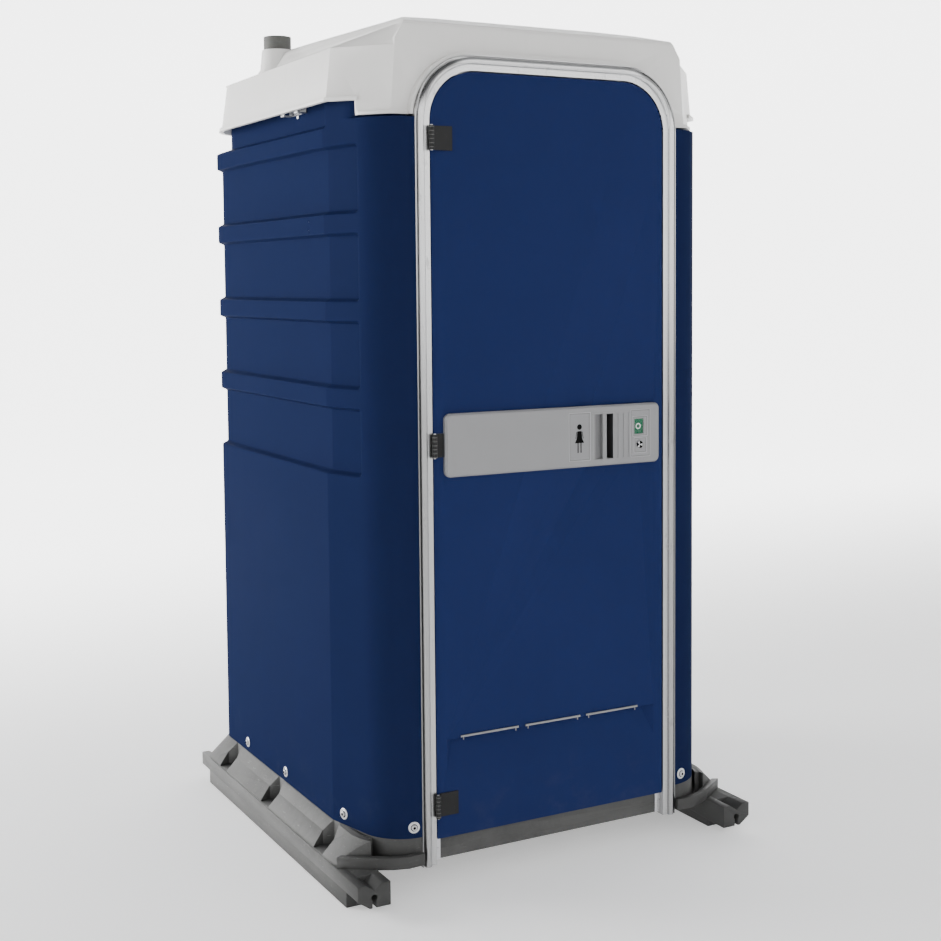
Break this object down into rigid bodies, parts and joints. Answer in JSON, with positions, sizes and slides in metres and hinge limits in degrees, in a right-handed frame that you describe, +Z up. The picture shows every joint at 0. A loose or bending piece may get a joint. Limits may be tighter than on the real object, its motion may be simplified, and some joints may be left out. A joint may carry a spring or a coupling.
{
  "type": "portable toilet cabin",
  "caption": "Free-standing portable toilet cabin on skids, with a framed door, latch plate, pale hooded roof, vent pipe, tank, seat and lid.",
  "frame": {"origin": "on the ground, in the middle of the two skids' footprint", "axes": "+Z up, the door faces -Y, +X to the right of someone looking at the door"},
  "size_m": [1.206, 1.208, 2.278],
  "materials": {
    "blue_moulding": "satin",
    "door_moulding": "satin",
    "inner_skin": "satin",
    "roof_moulding": "satin",
    "base_moulding": "matte",
    "sill_plastic": "matte",
    "frame_aluminium": "brushed",
    "latch_grey": "satin",
    "hinge_black": "satin",
    "bright_steel": "brushed",
    "pipe_grey": "matte",
    "tank_black": "satin",
    "seat_black": "gloss",
    "soft_rubber": "matte",
    "clear_window": "clear",
    "flag_green": "satin",
    "nylon": "satin",
    "strip_steel": "brushed",
    "roll_paper": "matte"
  },
  "bodies": {
    "cabin": {"skid_left": "base_moulding", "skid_right": "base_moulding", "base_pan": "base_moulding", "door_sill": "sill_plastic", "wall_left": "blue_moulding", "wall_right": "blue_moulding", "wall_rear": "blue_moulding", "roof_shell": "roof_moulding", "door_frame": "frame_aluminium", "jamb_foot_plates": "bright_steel", "jamb_foot_rivets": "bright_steel", "wall_washers": "bright_steel", "wall_bolts": "bright_steel", "wall_seam_rivets": "bright_steel", "roof_clips": "bright_steel", "roof_clip_rivets": "bright_steel", "vent_pipe": "pipe_grey", "hinge_pins": "bright_steel", "holding_tank": "tank_black", "seat_bracket": "bright_steel", "seat_bracket_screws": "bright_steel", "seat_pin": "bright_steel", "paper_bracket": "bright_steel", "paper_bracket_screws": "bright_steel", "paper_roller": "nylon", "coat_hook": "bright_steel", "coat_hook_screws": "bright_steel", "hinge_frame_leaf_low": "hinge_black", "hinge_frame_leaf_mid": "hinge_black", "hinge_frame_leaf_high": "hinge_black"},
    "door": {"door_panel": "door_moulding", "door_liner": "inner_skin", "drip_strips": "strip_steel", "drip_strip_pegs": "strip_steel", "hinge_door_leaf_low": "hinge_black", "hinge_door_leaf_mid": "hinge_black", "hinge_door_leaf_high": "hinge_black", "latch_plate": "latch_grey", "pull_handle": "latch_grey", "sign_plate": "latch_grey", "window_lens": "clear_window", "latch_case": "latch_grey", "latch_case_screws": "bright_steel", "inner_pull": "seat_black"},
    "lock_knob": {"coin_disc": "bright_steel", "lock_spindle": "bright_steel", "latch_knob": "seat_black"},
    "bolt_slide": {"latch_bolt": "nylon", "occupancy_flag": "flag_green", "flag_link": "bright_steel"},
    "seat": {"toilet_seat": "seat_black", "seat_buffers": "soft_rubber"},
    "lid": {"seat_lid": "seat_black", "lid_buffers": "soft_rubber"},
    "front_roll": {"paper_roll_front": "roll_paper"},
    "rear_roll": {"paper_roll_rear": "roll_paper"}
  },
  "joints": [
    {"name": "door_swing", "type": "hinge", "parent": "cabin", "child": "door", "pos_m": [-0.352, -0.549, 1.1], "axis": [0, 0, -1], "range_deg": [0, 105]},
    {"name": "lock_turn", "type": "hinge", "parent": "door", "child": "lock_knob", "pos_m": [0.266, -0.5, 1.109], "axis": [0, 1, 0], "range_deg": [0, 90]},
    {"name": "bolt_travel", "type": "slide", "parent": "door", "child": "bolt_slide", "axis": [1, 0, 0], "range_m": [0, 0.03]},
    {"name": "seat_lift", "type": "hinge", "parent": "cabin", "child": "seat", "pos_m": [0, 0.463, 0.483], "axis": [-1, 0, 0], "range_deg": [0, 94]},
    {"name": "lid_close", "type": "hinge", "parent": "cabin", "child": "lid", "pos_m": [0, 0.463, 0.483], "axis": [1, 0, 0], "range_deg": [0, 96]},
    {"name": "front_roll_spin", "type": "hinge", "parent": "cabin", "child": "front_roll", "pos_m": [0.465, 0.048, 0.76], "axis": [0, 1, 0], "continuous": true},
    {"name": "rear_roll_spin", "type": "hinge", "parent": "cabin", "child": "rear_roll", "pos_m": [0.465, 0.15, 0.76], "axis": [0, 1, 0], "continuous": true}
  ],
  "couplings": [
    {"joint": "bolt_travel", "follows": "lock_turn", "m_per_rad": 0.019099}
  ]
}
